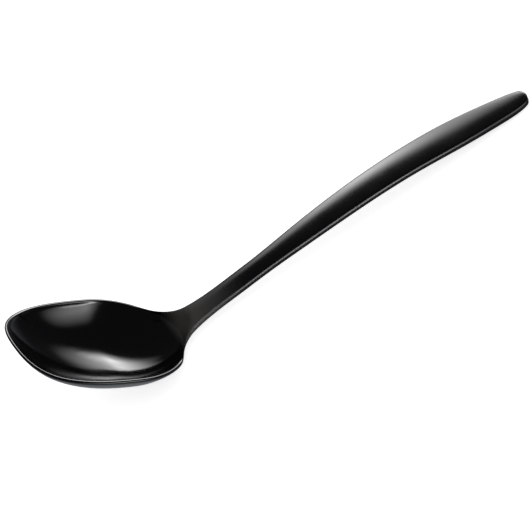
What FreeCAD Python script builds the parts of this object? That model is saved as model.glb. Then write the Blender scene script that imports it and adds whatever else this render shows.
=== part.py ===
import FreeCAD, Part
import math
import os

# A one-piece moulded melamine cooking spoon, at rest on the heel of its bowl and the end of its handle.
# Millimetres. +X runs from the bowl to the end of the handle and +Z is up. The spoon is the same on both
# sides of the XZ plane, and the origin is the centre of the bottom of its box.

# Bowl. Forward runs along the rim plane from its widest place to the front tip.
RIM_ANGLE = 39.3            # slope of the rim plane, front tip up
WIDEST_X = -103.0           # where the rim is widest
WIDEST_Z = 29.7
HALF_WIDTH = 33.4           # from the middle to the crest of the rim
FRONT_REACH = 58.4          # from the widest place to the front tip
REAR_REACH = 40.3           # from the widest place to the rear of the rim
FRONT_FULLNESS = 2.85       # superellipse power of the blunt front; 2 is an ellipse
DEPTH = 18.95               # of the hollow, below the rim plane
ROUNDNESS = 0.8             # share of a half-ellipse that the section of the hollow follows
WALL = 2.4
TIP_LIFT = 1.6              # how far the front tip curls up out of the rim plane
TIP_LIFT_LENGTH = 14.0      # length of the curl
BELLY_BACK = 4.0            # how far the lowest point lies behind the widest place
RING_REACHES = [1.0, 0.97, 0.9, 0.8, 0.66, 0.5, 0.34, 0.18, 0.05]   # shares of the rim's outline
RING_POINTS = 48
LIP_STEPS = 4               # rings round the half-circle of the lip
CLEARING_HEIGHT = 6.0       # how far above the rim the neck is cleared out of the bowl

# Neck and handle. The edge is the line where the top face meets the side.
SPLIT_X = -55.0             # the flat joint between the two parts, at the slim end of the neck
SWELL = 1.1                 # how far the side bulges out beyond the edge
SIDE = 3.0                  # from the edge down to the widest place
CORNER = 1.7                # radius below the widest place
BELLY = 1.6                 # how far the middle of the underside lies below its corners
CROWN = 0.9                 # rise of the top face between its edges
NECK_SWELL = 0.6
NECK_SIDE = 2.9
NECK_BELLY = 0.3
EDGE_RADIUS = 0.3

# The neck spreading into the bowl: x, height of the edge, half-width between the edges, rise of the middle
# of the top face, height of the underside, half-width of the underside
NECK_STATIONS = [
    (-78.9, 10.9, 19.4, -7.4, 3.3, 2.0),
    (-74.9, 10.7, 14.9, -6.9, 2.6, 2.5),
    (-70.9, 10.5, 11.0, -5.5, 2.2, 3.0),
    (-66.9, 10.5, 8.3, -2.6, 2.6, 3.4),
]
# The handle: x, height of the edge, half-width between the edges
HANDLE_STATIONS = [
    (-62.0, 10.7, 6.6),
    (-55.0, 11.0, 5.7),
    (-36.0, 12.1, 5.3),
    (-16.0, 13.6, 5.4),
    (3.0, 15.1, 6.3),
    (40.0, 17.0, 7.75),
    (78.0, 15.8, 8.5),
    (108.0, 11.7, 8.6),
    (133.0, 7.25, 6.85),
]
# The handle's rounded end: x, height of the edge, half-width, share of the full thickness
END_STATIONS = [
    (139.9, 5.9, 5.95, 0.93),
    (143.9, 5.2, 5.1, 0.81),
    (147.0, 4.6, 3.9, 0.63),
    (148.9, 4.15, 2.2, 0.42),
]


def bowl_to_part(forward, across, up):
    """Turn a place measured from the rim plane into the spoon's own frame."""
    slope = math.radians(RIM_ANGLE)
    x = WIDEST_X - forward * math.cos(slope) + up * math.sin(slope)
    z = WIDEST_Z + forward * math.sin(slope) + up * math.cos(slope)
    return FreeCAD.Vector(x, across, z)


def tip_curl(forward):
    start = FRONT_REACH - TIP_LIFT_LENGTH
    return TIP_LIFT * max(0.0, (forward - start) / TIP_LIFT_LENGTH) ** 2


def bowl_section(reach):
    """1 at the middle of the bowl and 0 at the rim, along part of an ellipse."""
    cut = math.sqrt(1 - ROUNDNESS ** 2)
    return (math.sqrt(1 - (ROUNDNESS * reach) ** 2) - cut) / (1 - cut)


def ring_point(angle, reach, grow, depth):
    """A point of the ring at a share, reach, of the rim's outline, moved out by grow and down by depth."""
    ahead = math.cos(angle) > 0
    length = (FRONT_REACH if ahead else REAR_REACH) + grow
    power = 2 + (FRONT_FULLNESS - 2) * reach if ahead else 2
    along = abs(math.cos(angle)) / length
    across = abs(math.sin(angle)) / (HALF_WIDTH + grow)
    radius = reach / (along ** power + across ** power) ** (1 / power)
    forward = radius * math.cos(angle)
    back = BELLY_BACK * bowl_section(reach)
    return bowl_to_part(forward - back, radius * math.sin(angle), tip_curl(forward) - depth)


def ring(reach, grow, depth):
    """Closed smooth wire round the bowl."""
    step = 2 * math.pi / RING_POINTS
    curve = Part.BSplineCurve()
    curve.interpolate(Points=[ring_point(step * i, reach, grow, depth) for i in range(RING_POINTS)],
                      PeriodicFlag=True)
    return Part.Wire([curve.toShape()])


def skin_rings(grow, lowest):
    lip = WALL / 2
    return [ring(r, grow, lip + (lowest - lip) * bowl_section(r)) for r in RING_REACHES]


def lip_rings():
    lip = WALL / 2
    turns = [math.pi * i / LIP_STEPS for i in range(LIP_STEPS + 1)]
    return [ring(1.0, lip * math.cos(t), lip - lip * math.sin(t)) for t in turns]


def closed_solid(lofts, caps):
    faces = [face for loft in lofts for face in loft.Faces]
    shell = Part.makeShell(faces + caps)
    shell.sewShape()
    return Part.makeSolid(shell)


def bowl_shell():
    outer = skin_rings(WALL / 2, DEPTH + WALL)
    inner = skin_rings(-WALL / 2, DEPTH)
    lofts = [Part.makeLoft(outer), Part.makeLoft(lip_rings()), Part.makeLoft(inner)]
    return closed_solid(lofts, [Part.Face(outer[-1]), Part.Face(inner[-1])])


def hollow():
    """The space inside the bowl, carried on upwards, to clear the neck out of it."""
    lip = WALL / 2
    inner = skin_rings(-lip, DEPTH)
    above = [ring(1.0, -lip, lip), ring(1.0, -lip / 2, -CLEARING_HEIGHT)]
    lofts = [Part.makeLoft(inner), Part.makeLoft(above)]
    return closed_solid(lofts, [Part.Face(inner[-1]), Part.makeFilledFace(above[-1].Edges)])


def arc(start, through, end):
    return Part.Arc(start, through, end).toShape()


def section(x, edge, half_width, rise, swell, side, shoulder, bottom, flat):
    """Closed section across the handle: crowned top, bulging sides, rounded corners, convex underside."""
    def at(y, z):
        return FreeCAD.Vector(x, y, z)
    radius = (swell ** 2 + side ** 2) / (2 * swell)
    half_turn = math.asin(side / radius) / 2
    widest = half_width + swell
    waist = edge - side
    bend = math.sqrt(0.5)
    right = [
        at(half_width, edge),
        at(widest - radius * (1 - math.cos(half_turn)), waist + radius * math.sin(half_turn)),
        at(widest, waist),
        at(flat + (widest - flat) * bend, shoulder + (waist - shoulder) * (1 - bend)),
        at(flat, shoulder),
    ]
    left = [at(-p.y, p.z) for p in right]
    return Part.Wire([
        arc(left[0], at(0, edge + rise), right[0]),
        arc(right[0], right[1], right[2]),
        arc(right[2], right[3], right[4]),
        arc(right[4], at(0, bottom), left[4]),
        arc(left[4], left[3], left[2]),
        arc(left[2], left[1], left[0]),
    ])


def neck_section(x, edge, half_width, rise, bottom, flat):
    return section(x, edge, half_width, rise, NECK_SWELL, NECK_SIDE, bottom + NECK_BELLY, bottom, flat)


def handle_section(x, edge, half_width, share=1.0):
    shoulder = edge - (SIDE + CORNER) * share
    flat = half_width + (SWELL - CORNER) * share
    return section(x, edge, half_width, CROWN * share, SWELL * share, SIDE * share,
                   shoulder, shoulder - BELLY * share, flat)


def is_top_edge(edge):
    """Whether a long edge of the handle is one of the two beside its top face."""
    x, height, half_width = HANDLE_STATIONS[2]
    spots = [FreeCAD.Vector(x, y, height) for y in (half_width, -half_width)]
    return min(edge.distToShape(Part.Vertex(spot))[0] for spot in spots) < EDGE_RADIUS


def neck_and_handle():
    sections = [neck_section(*row) for row in NECK_STATIONS]
    sections += [handle_section(*row) for row in HANDLE_STATIONS + END_STATIONS]
    grip = Part.makeLoft(sections, True)
    return grip.makeFillet(EDGE_RADIUS, [edge for edge in grip.Edges if is_top_edge(edge)])


def side_of_split(beyond):
    """A block on one side of the flat joint in the neck."""
    size = 400
    start = SPLIT_X if beyond else SPLIT_X - size
    return Part.makeBox(size, size, size, FreeCAD.Vector(start, -size / 2, -size / 2))


def make_bowl(grip):
    neck = grip.common(side_of_split(False)).cut(hollow())
    return bowl_shell().fuse(neck)


def make_handle(grip):
    return grip.common(side_of_split(True))


def main():
    os.makedirs("parts", exist_ok=True)
    grip = neck_and_handle()
    make_bowl(grip).exportStep("parts/bowl.step")
    make_handle(grip).exportStep("parts/handle.step")


if __name__ == "__main__":
    main()
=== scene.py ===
import math
import bmesh
import bpy
from mathutils import Matrix, Vector


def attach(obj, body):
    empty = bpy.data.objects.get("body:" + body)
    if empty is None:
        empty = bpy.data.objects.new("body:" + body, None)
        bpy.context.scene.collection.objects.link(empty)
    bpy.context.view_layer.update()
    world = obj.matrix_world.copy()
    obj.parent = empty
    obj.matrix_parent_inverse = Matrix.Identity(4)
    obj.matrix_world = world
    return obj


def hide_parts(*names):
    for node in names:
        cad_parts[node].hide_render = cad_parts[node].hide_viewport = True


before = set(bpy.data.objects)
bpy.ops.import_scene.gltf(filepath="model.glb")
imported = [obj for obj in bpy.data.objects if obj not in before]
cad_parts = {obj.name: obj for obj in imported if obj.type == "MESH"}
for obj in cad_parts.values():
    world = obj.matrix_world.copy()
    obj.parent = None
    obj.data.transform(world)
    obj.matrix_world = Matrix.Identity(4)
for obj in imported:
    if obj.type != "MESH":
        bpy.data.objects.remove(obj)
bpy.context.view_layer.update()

# A black moulded melamine cooking spoon. Sizes are in millimetres and angles in degrees; +X runs from the
# bowl to the end of the handle and +Z is up. The spoon is the same on both sides of the XZ plane.
MM = 0.001

# Bowl. Forward runs along the rim plane from its widest place to the front tip.
RIM_ANGLE = 39.3            # slope of the rim plane, front tip up
WIDEST_X = -103.0           # where the rim is widest
WIDEST_Z = 29.7
HALF_WIDTH = 33.4           # from the middle to the crest of the rim
FRONT_REACH = 58.4          # from the widest place to the front tip
REAR_REACH = 40.3           # from the widest place to the rear of the rim
FRONT_FULLNESS = 2.85       # superellipse power of the blunt front; 2 is an ellipse
DEPTH = 18.95               # of the hollow, below the rim plane
ROUNDNESS = 0.8             # share of a half-ellipse that the section of the hollow follows
LIP = 1.3                   # half the thickness of the wall; smoothing draws it in to 1.2
TIP_LIFT = 1.6              # how far the front tip curls up out of the rim plane
TIP_LIFT_LENGTH = 14.0
BELLY_BACK = 4.0            # how far the lowest point lies behind the widest place
COLUMNS = 40                # round the bowl
COLUMN = 360 / COLUMNS
WALL_REACHES = [0.5, 0.6, 0.7, 0.8, 0.9, 0.965]     # rings up the wall, as shares of the rim's outline
ROOT_REACH = 0.9                                    # the ring of the outer wall where the neck begins
LIP_TURNS = [180, 135, 90, 45, 0]                   # rings round the lip, from inside to outside
CREST_TURN = 90                                     # the ring on top of the lip
FLOOR_STEPS = COLUMNS // 8                          # rows of the patch that closes the bottom of the bowl
NECK_FIRST = 16                                     # the columns that run into the neck
NECK_LAST = 24

# Handle. The edge is the line where the top face meets the side.
SWELL = 1.1                 # how far the side bulges out beyond the edge
SIDE = 3.0                  # from the edge down to the widest place
CORNER = 1.7                # radius below the widest place
BELLY = 1.6                 # how far the middle of the underside lies below its corners
CROWN = 0.9                 # rise of the top face between its edges
ACROSS = [1.0, 0.85, 0.6, 0.3, 0.0, -0.3, -0.6, -0.85, -1.0]    # rows across the top, right to left
# Places down the side, as (out from the edge, down from the edge)
SIDE_DROPS = [(0.45 * SWELL, 0.3 * SIDE), (0.95 * SWELL, 0.7 * SIDE), (SWELL, 1.1 * SIDE)]
JOINT_X = -55.0             # where the handle meets the neck
STEP = 7.0                  # between sections along the handle
SMOOTHING = 3               # times that the coarse mesh is divided
HANDLE_X = [-62.0, -55.0, -36.0, -16.0, 3.0, 40.0, 78.0, 108.0, 133.0]
HANDLE_EDGE = [10.7, 11.0, 12.1, 13.6, 15.1, 17.0, 15.8, 11.7, 7.25]
HANDLE_HALF_WIDTH = [6.6, 5.7, 5.3, 5.4, 6.3, 7.75, 8.5, 8.6, 6.85]
# The rounded end: x, height of the edge, half-width, share of the full thickness, bulge of the middle
END_SECTIONS = [
    (138.6, 6.15, 6.25, 0.95, 0.3),
    (142.6, 5.5, 5.65, 0.86, 0.7),
    (145.5, 4.95, 4.95, 0.75, 1.2),
    (147.2, 4.6, 4.2, 0.64, 1.7),
]
# The neck, from the rim of the bowl to the handle: the edge, then the middle of the top face, as (x, y, z)
NECK_EDGE = [(-79.5, 22.0, 10.5), (-76.2, 16.4, 10.8), (-73.0, 12.9, 10.65), (-69.5, 10.0, 10.5),
             (-65.8, 7.85, 10.5), (-62.0, 6.6, 10.7)]
NECK_MIDDLE = [(-71.2, 0.0, 4.6), (-69.6, 0.0, 5.7), (-67.8, 0.0, 7.0), (-66.0, 0.0, 8.4),
               (-64.0, 0.0, 9.9), (-62.0, 0.0, 11.0)]

# Finish. The neck is satin, and its finish blends into the bowl's and the handle's along x; the neck's
# lighter base colour is a painted sheen.
BOWL_BLACK = (0.0015, 0.0015, 0.0017, 1.0)
NECK_PAINTED_SHEEN_BLACK = (0.035, 0.0335, 0.031, 1.0)    # lighter than the bowl: a painted sheen, standing in for light the neck reflects
MELAMINE_IOR = 1.6
BOWL_ROUGHNESS = 0.1
NECK_ROUGHNESS = 0.38
HANDLE_ROUGHNESS = 0.2
BOWL_TO_NECK = (-81.0, -67.0)
NECK_TO_HANDLE = (-64.0, -25.0)
# Marks of use, as noise: how many to the metre, and how much of the roughness they leave or add
SMEARS_PER_METRE = 60.0
SMEAR_RANGE = (0.35, 0.7)       # of the noise, from the clearest place to the most smeared
SMEAR_SHARES = (0.92, 1.15)
SCRATCHES_PER_METRE = 2600.0
SCRATCH_STRETCH = 0.08          # how closely they are packed along x, as a share of across
SCRATCH_RANGE = (0.62, 0.75)
SCRATCH_SHARES = (1.0, 1.35)
SCRATCH_DEPTH = 0.01
RIPPLES_PER_METRE = 260.0
RIPPLE_DEPTH = 0.02

# Camera: a long lens, aimed from the near side of the spoon and turned about its line of sight
CAMERA_AIM = (-15.06, 0.0, 8.46)
CAMERA_DISTANCE = 2462.5
CAMERA_ELEVATION = 50.0
CAMERA_TILT = 7.07              # about the Y axis
CAMERA_ROLL = 39.0
LENS = 321.4
SENSOR = 36.0
CLIP = (0.1, 20.0)              # in metres

# Studio, in metres
FLOOR_WHITE = (0.9, 0.9, 0.9, 1.0)
FLOOR_GLOW = 0.9                # of the floor's own, as on a light table
FLOOR_ROUGHNESS = 0.9
FLOOR_REACH = 4.0               # from the middle to the edge of the floor
BOWL_MIDDLE = (-0.11, 0.0, 0.015)
HANDLE_MIDDLE = (0.055, 0.0, 0.017)
# Lights that are only reflected: aim, azimuth, elevation, distance, size, radiance, falloff
REFLECTED_LIGHTS = {
    "handle_light": (HANDLE_MIDDLE, 10, 30, 0.13, (0.31, 0.105), 10.5, 1.9),
    "bowl_light": (BOWL_MIDDLE, 44, 12, 1.2, (2.0, 1.0), 8, 2.0),
    "front_light": (BOWL_MIDDLE, 134, 6, 1.2, (1.3, 0.5), 3.4, 1.5),
    "side_light": (HANDLE_MIDDLE, 179, 3, 0.3, (0.4, 0.04), 9, 0.5),
}
# The one light that is never reflected, straight above
FILL_HEIGHT = 2.5
FILL_SIZE = (5, 5)
FILL_RADIANCE = 1
SKY_COLOUR = (0.9, 0.95, 1.0, 1.0)
SKY_BELOW = 0.3                 # strength of the surroundings, seen looking down
SKY_ABOVE = 0.045               # and looking level or up
SKY_CHANGE = (-0.6, -0.3)       # heights of the direction between which the strength changes


def spline(knots, values):
    """Smooth curve through the values, bending no more than it must, as a function."""
    n = len(knots)
    gaps = [b - a for a, b in zip(knots, knots[1:])]
    slopes = [(b - a) / g for a, b, g in zip(values, values[1:], gaps)]
    diagonal, right = [1.0] * n, [0.0] * n
    for i in range(1, n - 1):
        diagonal[i] = 2 * (gaps[i - 1] + gaps[i])
        right[i] = 6 * (slopes[i] - slopes[i - 1])
        if i > 1:
            ratio = gaps[i - 1] / diagonal[i - 1]
            diagonal[i] -= ratio * gaps[i - 1]
            right[i] -= ratio * right[i - 1]
    bends = [0.0] * n
    for i in range(n - 2, 0, -1):
        bends[i] = (right[i] - gaps[i] * bends[i + 1]) / diagonal[i]

    def at(x):
        i = max(k for k in range(n - 1) if k == 0 or knots[k] <= x)
        a, b = knots[i + 1] - x, x - knots[i]
        g = gaps[i]
        return ((bends[i] * a ** 3 + bends[i + 1] * b ** 3) / (6 * g)
                + (values[i] / g - bends[i] * g / 6) * a + (values[i + 1] / g - bends[i + 1] * g / 6) * b)
    return at


def bowl_to_part(forward, across, up):
    slope = math.radians(RIM_ANGLE)
    return Vector((WIDEST_X - forward * math.cos(slope) + up * math.sin(slope), across,
                   WIDEST_Z + forward * math.sin(slope) + up * math.cos(slope)))


def bowl_section(reach):
    """1 at the middle of the bowl and 0 at the rim, along part of an ellipse."""
    cut = math.sqrt(1 - ROUNDNESS ** 2)
    return (math.sqrt(1 - (ROUNDNESS * reach) ** 2) - cut) / (1 - cut)


def ring_place(turn, reach, grow, depth):
    """A place at a share, reach, of the rim's outline, moved out by grow and down by depth."""
    angle = math.radians(turn)
    ahead = math.cos(angle) > 0
    length = (FRONT_REACH if ahead else REAR_REACH) + grow
    power = 2 + (FRONT_FULLNESS - 2) * reach if ahead else 2
    along = abs(math.cos(angle)) / length
    across = abs(math.sin(angle)) / (HALF_WIDTH + grow)
    radius = reach / (along ** power + across ** power) ** (1 / power)
    forward = radius * math.cos(angle)
    curl = TIP_LIFT * max(0.0, (forward - FRONT_REACH + TIP_LIFT_LENGTH) / TIP_LIFT_LENGTH) ** 2
    return bowl_to_part(forward - BELLY_BACK * bowl_section(reach), radius * math.sin(angle), curl - depth)


class Cage:
    """Points and four-sided faces of the coarse mesh that is smoothed into the spoon."""

    def __init__(self):
        self.points = []
        self.faces = []

    def add(self, point):
        self.points.append(Vector(point))
        return len(self.points) - 1

    def strip(self, first, second, skip=(), closed=True):
        """Faces between two rows of points, but for those that start at a skipped place."""
        count = len(first) if closed else len(first) - 1
        for i in range(count):
            if i not in skip:
                j = (i + 1) % len(first)
                self.faces.append((first[i], first[j], second[j], second[i]))


def wall_depth(reach, side):
    """Depth of the inner wall, side -1, or the outer wall, side 1, below the rim plane."""
    lowest = DEPTH + (2 * LIP if side > 0 else 0)
    return LIP + (lowest - LIP) * bowl_section(reach)


def wall_ring(cage, reach, side):
    return [cage.add(ring_place(COLUMN * i, reach, side * LIP, wall_depth(reach, side)))
            for i in range(COLUMNS)]


def lip_ring(cage, lip_turn):
    a = math.radians(lip_turn)
    return [cage.add(ring_place(COLUMN * i, 1.0, LIP * math.cos(a), LIP - LIP * math.sin(a)))
            for i in range(COLUMNS)]


def square_turn(p, q):
    """Turn, in degrees, of a place on the outline of the square it lies on, centred at 0, 0."""
    k = max(abs(p), abs(q))
    if p == k:
        steps = q
    elif q == k:
        steps = 2 * k - p
    elif p == -k:
        steps = 4 * k - q
    else:
        steps = 6 * k + p
    return 360 * steps / (8 * k) % 360 if k else 0


def bowl_floor(cage, ring, side):
    """Close the bottom of the bowl inside a ring with a square patch."""
    n = FLOOR_STEPS
    spots = {}
    for p in range(-n, n + 1):
        for q in range(-n, n + 1):
            level = max(abs(p), abs(q))
            turn = square_turn(p, q)
            if level == n:
                spots[p, q] = ring[round(turn / COLUMN)]
            else:
                reach = WALL_REACHES[0] * level / n
                spots[p, q] = cage.add(ring_place(turn, reach, side * LIP, wall_depth(reach, side)))
    for p in range(-n, n):
        cage.strip([spots[p, q] for q in range(-n, n + 1)], [spots[p + 1, q] for q in range(-n, n + 1)],
                   closed=False)


def bowl_rings(cage):
    """The whole skin of the bowl, open where the neck joins. Gives the rings that frame the opening."""
    inner = [wall_ring(cage, reach, -1) for reach in WALL_REACHES]
    lips = [lip_ring(cage, turn) for turn in LIP_TURNS]
    outer = [wall_ring(cage, reach, 1) for reach in reversed(WALL_REACHES)]
    bowl_floor(cage, inner[0], -1)
    bowl_floor(cage, outer[-1], 1)
    rings = inner + lips + outer
    crest = len(inner) + LIP_TURNS.index(CREST_TURN)
    root = len(inner) + len(lips) + list(reversed(WALL_REACHES)).index(ROOT_REACH)
    for i in range(len(rings) - 1):
        open_here = range(NECK_FIRST, NECK_LAST) if crest <= i < root else ()
        cage.strip(rings[i], rings[i + 1], skip=open_here)
    return rings[crest:root + 1]


def bowed_row(end, middle, shares):
    """Places across the spoon, from one end to its mirror image, bowed through the middle."""
    return [Vector((middle.x + (end.x - middle.x) * t * t, end.y * t, middle.z + (end.z - middle.z) * t * t))
            for t in shares]


def mirrored(point):
    return Vector((point.x, -point.y, point.z))


def loop_places(top, side, bottom):
    """Once round a section: across the top, down the left side, across the bottom and up the right side."""
    return top + [mirrored(p) for p in side] + bottom[::-1] + side[::-1]


def handle_loop(x, edge, half_width, share=1.0, bulge=0.0):
    end = Vector((x, half_width, edge))
    middle = Vector((x + bulge, 0, edge + CROWN * share))
    top = bowed_row(end, middle, ACROSS)
    side = [end + Vector((0, out, -down)) * share for out, down in SIDE_DROPS]
    low_end = end + Vector((0, SWELL - CORNER, -SIDE - CORNER)) * share
    low_middle = Vector((x + bulge, 0, low_end.z - BELLY * share))
    bottom = bowed_row(low_end, low_middle, ACROSS)
    return loop_places(top, side, bottom)


def neck_loops(cage, frame_rings):
    """Sections from the opening in the bowl to the first section of the handle, as rows of points."""
    columns = range(NECK_FIRST, NECK_LAST + 1)
    crest, root = frame_rings[0], frame_rings[-1]
    end = cage.points[crest[NECK_FIRST]].copy()
    rim_shares = [cage.points[crest[i]].y / end.y for i in columns]
    for i, place in zip(columns, bowed_row(end, Vector(NECK_MIDDLE[0]), rim_shares)):
        cage.points[crest[i]] = place
    root_shares = [cage.points[root[i]].y / cage.points[root[NECK_FIRST]].y for i in columns]
    opening = ([crest[i] for i in columns] + [ring[NECK_LAST] for ring in frame_rings[1:-1]]
               + [root[i] for i in reversed(columns)]
               + [ring[NECK_FIRST] for ring in reversed(frame_rings[1:-1])])
    near_side = [cage.points[ring[NECK_FIRST]] - end for ring in frame_rings[1:]]
    last = handle_loop(HANDLE_X[0], HANDLE_EDGE[0], HANDLE_HALF_WIDTH[0])
    n = len(ACROSS)
    # Places down the near side of the handle's first section, measured from its edge
    far_side = [p - last[0] for p in last[:2 * n + 2:-1] + [last[2 * n + 2]]]
    root_middle = cage.points[root[(NECK_FIRST + NECK_LAST) // 2]]
    far_middle = Vector((HANDLE_X[0], 0, last[2 * n].z))
    loops = [opening]
    for k in range(1, len(NECK_EDGE) - 1):
        w = k / (len(NECK_EDGE) - 1)
        edge, middle = Vector(NECK_EDGE[k]), Vector(NECK_MIDDLE[k])
        top = bowed_row(edge, middle, [a + (b - a) * w for a, b in zip(rim_shares, ACROSS)])
        side = [edge + a.lerp(b, w) for a, b in zip(near_side, far_side)]
        bottom = bowed_row(side[-1], root_middle.lerp(far_middle, w),
                           [a + (b - a) * w for a, b in zip(root_shares, ACROSS)])
        loops.append([cage.add(p) for p in loop_places(top, side[:-1], bottom)])
    return loops


def handle_loops(cage):
    edge, half_width = spline(HANDLE_X, HANDLE_EDGE), spline(HANDLE_X, HANDLE_HALF_WIDTH)
    count = round((HANDLE_X[-1] - HANDLE_X[0]) / STEP)
    sections = [HANDLE_X[0] + STEP * i for i in range(count)] + [HANDLE_X[-1]]
    loops = [handle_loop(x, edge(x), half_width(x)) for x in sections]
    loops += [handle_loop(*row) for row in END_SECTIONS]
    return [[cage.add(p) for p in loop] for loop in loops]


def end_cap(cage, loop):
    """Close the last section of the handle with a patch that joins its top to its bottom."""
    n = len(ACROSS)
    top, left = loop[:n], loop[n:n + 3]
    bottom, right = loop[n + 3:2 * n + 3][::-1], loop[2 * n + 3:][::-1]
    rows = [top]
    for a, b in zip(right, left):
        depth = (cage.points[a].z - cage.points[top[0]].z) / (
            cage.points[bottom[0]].z - cage.points[top[0]].z)
        between = [cage.add(cage.points[t].lerp(cage.points[u], depth))
                   for t, u in zip(top[1:-1], bottom[1:-1])]
        rows.append([a] + between + [b])
    rows.append(bottom)
    for first, second in zip(rows, rows[1:]):
        cage.strip(first, second, closed=False)


def spoon_cage():
    cage = Cage()
    frame_rings = bowl_rings(cage)
    loops = neck_loops(cage, frame_rings) + handle_loops(cage)
    for first, second in zip(loops, loops[1:]):
        cage.strip(first, second)
    end_cap(cage, loops[-1])
    return cage


def smooth_spoon(cage):
    """The whole spoon as one smooth closed mesh, in metres."""
    mesh = bpy.data.meshes.new("spoon")
    used = sorted({i for face in cage.faces for i in face})
    place = {old: new for new, old in enumerate(used)}
    mesh.from_pydata([cage.points[i] * MM for i in used], [], [[place[i] for i in f] for f in cage.faces])
    tidy = bmesh.new()
    tidy.from_mesh(mesh)
    bmesh.ops.recalc_face_normals(tidy, faces=tidy.faces)
    tidy.to_mesh(mesh)
    tidy.free()
    whole = bpy.data.objects.new("spoon", mesh)
    bpy.context.scene.collection.objects.link(whole)
    whole.modifiers.new("smooth", "SUBSURF").levels = SMOOTHING
    smooth = bpy.data.meshes.new_from_object(whole.evaluated_get(bpy.context.evaluated_depsgraph_get()))
    bpy.data.objects.remove(whole)
    return smooth


def piece_of(whole, name, beyond):
    """The bowl's or the handle's share of the smooth spoon, closed where the two meet."""
    joint = JOINT_X * MM
    keep = [f for f in whole.polygons if (f.center.x > joint) == beyond]
    used = sorted({i for f in keep for i in f.vertices})
    place = {old: new for new, old in enumerate(used)}
    faces = [[place[i] for i in f.vertices] for f in keep]
    mesh = bpy.data.meshes.new(name)
    mesh.from_pydata([whole.vertices[i].co for i in used], [], faces)
    closed = bmesh.new()
    closed.from_mesh(mesh)
    border = [e for e in closed.edges if e.is_boundary]
    bmesh.ops.contextual_create(closed, geom=border)
    closed.to_mesh(mesh)
    closed.free()
    for polygon in mesh.polygons:
        polygon.use_smooth = True
    normals = []
    for polygon in mesh.polygons:
        flat = len(polygon.vertices) > 4
        for i in polygon.vertices:
            normals.append(polygon.normal if flat else whole.vertices[used[i]].normal)
    mesh.normals_split_custom_set(normals)
    piece = bpy.data.objects.new(name, mesh)
    bpy.context.scene.collection.objects.link(piece)
    return piece


def camera():
    """Tilt, lower and roll the view about its aim, then draw back along the line of sight."""
    data = bpy.data.cameras.new("camera")
    data.sensor_width = SENSOR
    data.lens = LENS
    data.clip_start, data.clip_end = CLIP
    cam = bpy.data.objects.new("camera", data)
    tilt = Matrix.Rotation(math.radians(-CAMERA_TILT), 4, "Y")
    lower = Matrix.Rotation(math.radians(90 - CAMERA_ELEVATION), 4, "X")
    roll = Matrix.Rotation(math.radians(-CAMERA_ROLL), 4, "Z")
    aim = Matrix.Translation(Vector(CAMERA_AIM) * MM)
    away = Matrix.Translation((0, 0, CAMERA_DISTANCE * MM))
    cam.matrix_world = aim @ tilt @ lower @ roll @ away
    bpy.context.scene.collection.objects.link(cam)
    bpy.context.scene.camera = cam


def mesh_object(name, points, faces):
    mesh = bpy.data.meshes.new(name)
    mesh.from_pydata(points, [], faces)
    thing = bpy.data.objects.new(name, mesh)
    bpy.context.scene.collection.objects.link(thing)
    return thing


class Shader:
    """A material's node tree, with short ways to add and join nodes."""

    def __init__(self, name):
        self.material = bpy.data.materials.new(name)
        self.material.use_nodes = True
        self.tree = self.material.node_tree
        self.surface = self.tree.nodes["Principled BSDF"]

    def node(self, kind, inputs=(), **settings):
        made = self.tree.nodes.new(kind)
        for key, value in settings.items():
            setattr(made, key, value)
        for key, value in dict(inputs).items():
            if isinstance(value, bpy.types.NodeSocket):
                self.tree.links.new(value, made.inputs[key])
            else:
                made.inputs[key].default_value = value
        return made

    def link(self, output, socket):
        self.tree.links.new(output, self.surface.inputs[socket])


def change(shader, value, start_end, results, **settings):
    """Map a value between start and end to the two results."""
    made = shader.node("ShaderNodeMapRange", {
        "Value": value, "From Min": start_end[0], "From Max": start_end[1],
        "To Min": results[0], "To Max": results[1]}, **settings)
    return made.outputs["Result"]


def product(shader, first, second):
    return shader.node("ShaderNodeMath", {0: first, 1: second}, operation="MULTIPLY").outputs[0]


def base_roughness(shader, place):
    """Roughness before the marks of use: it changes from the bowl to the neck and on to the handle."""
    along = shader.node("ShaderNodeSeparateXYZ", {0: place}).outputs["X"]
    to_neck = change(shader, along, [x * MM for x in BOWL_TO_NECK], (BOWL_ROUGHNESS, NECK_ROUGHNESS),
                     interpolation_type="SMOOTHSTEP")
    to_handle = change(shader, along, [x * MM for x in NECK_TO_HANDLE],
                       (1.0, HANDLE_ROUGHNESS / NECK_ROUGHNESS), interpolation_type="SMOOTHSTEP")
    return product(shader, to_neck, to_handle)


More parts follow.
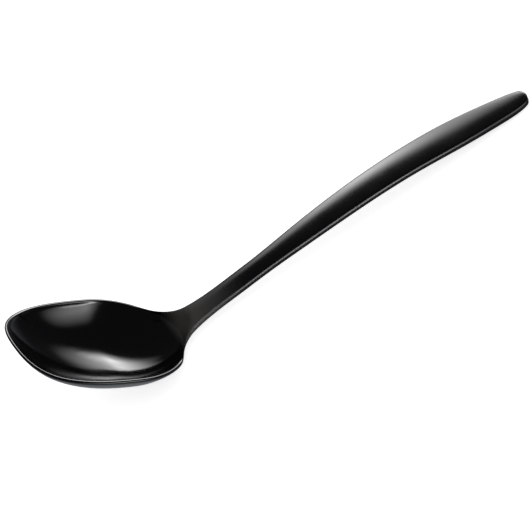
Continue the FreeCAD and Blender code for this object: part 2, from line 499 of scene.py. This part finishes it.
def melamine():
    """Black moulded melamine: glossy in the bowl, more satin along the handle, with fine marks of use and a
    painted sheen on the neck.
    """
    s = Shader("melamine")
    s.surface.inputs["IOR"].default_value = MELAMINE_IOR
    place = s.node("ShaderNodeTexCoord").outputs["Object"]
    base = base_roughness(s, place)
    # Painted sheen: towards the neck the base colour turns lighter, standing in for light that the neck
    # reflects.
    painted_sheen_share = change(s, base, (HANDLE_ROUGHNESS, NECK_ROUGHNESS), (0.0, 1.0))
    black = s.node("ShaderNodeMix", {"Factor": painted_sheen_share, "A": BOWL_BLACK, "B": NECK_PAINTED_SHEEN_BLACK}, data_type="RGBA")
    s.link(black.outputs["Result"], "Base Color")
    smears = s.node("ShaderNodeTexNoise", {
        "Vector": place, "Scale": SMEARS_PER_METRE, "Detail": 4.0, "Roughness": 0.6}).outputs["Fac"]
    stretched = s.node("ShaderNodeMapping", {"Vector": place, "Scale": (SCRATCH_STRETCH, 1.0, 1.0)})
    scratches = s.node("ShaderNodeTexNoise", {
        "Vector": stretched.outputs["Vector"], "Scale": SCRATCHES_PER_METRE, "Detail": 2.0}).outputs["Fac"]
    rough = product(s, base, change(s, smears, SMEAR_RANGE, SMEAR_SHARES))
    rough = product(s, rough, change(s, scratches, SCRATCH_RANGE, SCRATCH_SHARES))
    s.link(rough, "Roughness")
    ripples = s.node("ShaderNodeTexNoise", {
        "Vector": place, "Scale": RIPPLES_PER_METRE, "Detail": 1.0}).outputs["Fac"]
    bump = s.node("ShaderNodeBump", {"Height": ripples, "Strength": 0.2, "Distance": RIPPLE_DEPTH * MM})
    bump = s.node("ShaderNodeBump", {"Height": scratches, "Strength": 0.15, "Distance": SCRATCH_DEPTH * MM,
                                     "Normal": bump.outputs["Normal"]})
    s.link(bump.outputs["Normal"], "Normal")
    return s.material


def backdrop():
    r = FLOOR_REACH
    board = mesh_object("floor", [(-r, -r, 0), (r, -r, 0), (r, r, 0), (-r, r, 0)], [(0, 1, 2, 3)])
    s = Shader("floor")
    s.surface.inputs["Base Color"].default_value = FLOOR_WHITE
    s.surface.inputs["Roughness"].default_value = FLOOR_ROUGHNESS
    s.surface.inputs["Emission Color"].default_value = FLOOR_WHITE
    s.surface.inputs["Emission Strength"].default_value = FLOOR_GLOW
    s.surface.inputs["Specular IOR Level"].default_value = 0.0
    board.data.materials.append(s.material)
    board.visible_glossy = False


def direction(azimuth, elevation):
    """Unit vector; azimuth 0 points along +Y and 90 along +X."""
    a, e = math.radians(azimuth), math.radians(elevation)
    return Vector((math.sin(a) * math.cos(e), math.cos(a) * math.cos(e), math.sin(e)))


def soft_edge(lamp, falloff):
    """Make an area light bright in the middle and fade it out towards its edges."""
    lamp.use_nodes = True
    tree = lamp.node_tree
    emission = tree.nodes["Emission"]
    where = tree.nodes.new("ShaderNodeNewGeometry").outputs["Parametric"]
    centred = tree.nodes.new("ShaderNodeVectorMath")
    centred.operation = "SUBTRACT"
    centred.inputs[1].default_value = (0.5, 0.5, 0.0)
    tree.links.new(where, centred.inputs[0])
    distance = tree.nodes.new("ShaderNodeVectorMath")
    distance.operation = "LENGTH"
    tree.links.new(centred.outputs[0], distance.inputs[0])
    fade = tree.nodes.new("ShaderNodeMapRange")
    for key, value in (("From Min", 0.0), ("From Max", 0.5), ("To Min", 1.0), ("To Max", 0.0)):
        fade.inputs[key].default_value = value
    tree.links.new(distance.outputs["Value"], fade.inputs["Value"])
    power = tree.nodes.new("ShaderNodeMath")
    power.operation = "POWER"
    power.inputs[1].default_value = falloff
    tree.links.new(fade.outputs["Result"], power.inputs[0])
    tree.links.new(power.outputs[0], emission.inputs["Strength"])


def softbox(name, aim, azimuth, elevation, distance, size, radiance, falloff=None):
    """An area light that is either only reflected, fading towards its edges, or only lights matt surfaces."""
    reflected = falloff is not None
    lamp = bpy.data.lights.new(name, "AREA")
    lamp.shape = "RECTANGLE"
    lamp.size, lamp.size_y = size
    lamp.energy = radiance * size[0] * size[1] * math.pi
    if reflected:
        soft_edge(lamp, falloff)
    thing = bpy.data.objects.new(name, lamp)
    away = direction(azimuth, elevation)
    thing.location = Vector(aim) + away * distance
    thing.rotation_mode = "QUATERNION"
    thing.rotation_quaternion = away.to_track_quat("Z", "Y")
    thing.visible_camera = False
    thing.visible_glossy = reflected
    thing.visible_diffuse = not reflected
    bpy.context.scene.collection.objects.link(thing)


def surroundings():
    """A dim sky, brighter below to stand in for the floor, which isn't reflected."""
    world = bpy.data.worlds.new("world")
    bpy.context.scene.world = world
    world.use_nodes = True
    tree = world.node_tree
    background = tree.nodes["Background"]
    background.inputs["Color"].default_value = SKY_COLOUR
    facing = tree.nodes.new("ShaderNodeTexCoord")
    parts = tree.nodes.new("ShaderNodeSeparateXYZ")
    tree.links.new(facing.outputs["Generated"], parts.inputs[0])
    shade = tree.nodes.new("ShaderNodeMapRange")
    for key, value in (("From Min", SKY_CHANGE[0]), ("From Max", SKY_CHANGE[1]),
                       ("To Min", SKY_BELOW), ("To Max", SKY_ABOVE)):
        shade.inputs[key].default_value = value
    tree.links.new(parts.outputs["Z"], shade.inputs["Value"])
    tree.links.new(shade.outputs["Result"], background.inputs["Strength"])


def studio():
    """Every light, the surroundings and the plain view transform."""
    for name, row in REFLECTED_LIGHTS.items():
        softbox(name, *row)
    softbox("fill", (0, 0, 0), 0, 90, FILL_HEIGHT, FILL_SIZE, FILL_RADIANCE)
    surroundings()
    bpy.context.scene.view_settings.view_transform = "Standard"


def main():
    finish = melamine()
    whole = smooth_spoon(spoon_cage())
    for name, node, beyond in (("spoon_bowl", "bowl", False), ("spoon_handle", "handle", True)):
        piece = piece_of(whole, name, beyond)
        piece.data.materials.append(finish)
        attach(piece, "root")
        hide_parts(node)
    camera()
    backdrop()
    studio()


main()
